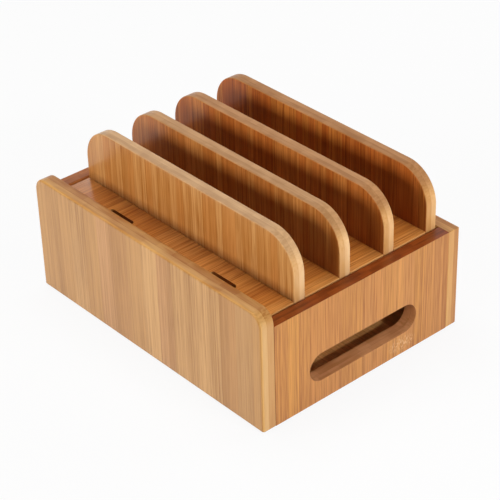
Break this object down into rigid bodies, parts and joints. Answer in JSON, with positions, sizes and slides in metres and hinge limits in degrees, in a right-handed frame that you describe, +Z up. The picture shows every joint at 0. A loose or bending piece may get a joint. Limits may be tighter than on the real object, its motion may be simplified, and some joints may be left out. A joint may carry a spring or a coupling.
{
  "type": "charging station organizer",
  "caption": "Wooden charging station organizer: an open-bay deck with upright dividers lifts off a hollow box that hides the charger.",
  "frame": {"origin": "on the table under the middle of the box, at the undersides of the foot pads", "axes": "+X runs along the dividers to the right end, -Y is the front with the tall panel, +Z is up"},
  "size_m": [0.25, 0.189, 0.1288],
  "materials": {
    "panel_bamboo": "clear semi-gloss lacquer over laminated bamboo",
    "divider_bamboo": "clear semi-gloss lacquer over laminated bamboo",
    "deck_bamboo": "clear semi-gloss lacquer over laminated bamboo",
    "inner_bamboo": "thinly sealed bamboo",
    "dowel_wood": "raw wood",
    "screw_steel": "zinc plated",
    "rubber_pad": "matt"
  },
  "bodies": {
    "box": {"front_panel": "panel_bamboo", "back_panel": "panel_bamboo", "right_end_panel": "panel_bamboo", "left_end_panel": "panel_bamboo", "bottom_board": "inner_bamboo", "front_ledger": "inner_bamboo", "back_ledger": "inner_bamboo", "right_ledger": "inner_bamboo", "left_ledger": "inner_bamboo", "corner_dowels": "dowel_wood", "ledger_screws": "screw_steel", "front_right_foot_pad": "rubber_pad", "front_left_foot_pad": "rubber_pad", "back_right_foot_pad": "rubber_pad", "back_left_foot_pad": "rubber_pad"},
    "deck": {"deck_board": "deck_bamboo", "front_divider": "divider_bamboo", "second_divider": "divider_bamboo", "third_divider": "divider_bamboo", "rear_divider": "divider_bamboo", "divider_screws": "screw_steel"}
  },
  "joints": [
    {"name": "deck_lift", "type": "slide", "parent": "box", "child": "deck", "axis": [0, 0, 1], "range_m": [0, 0.1]}
  ]
}
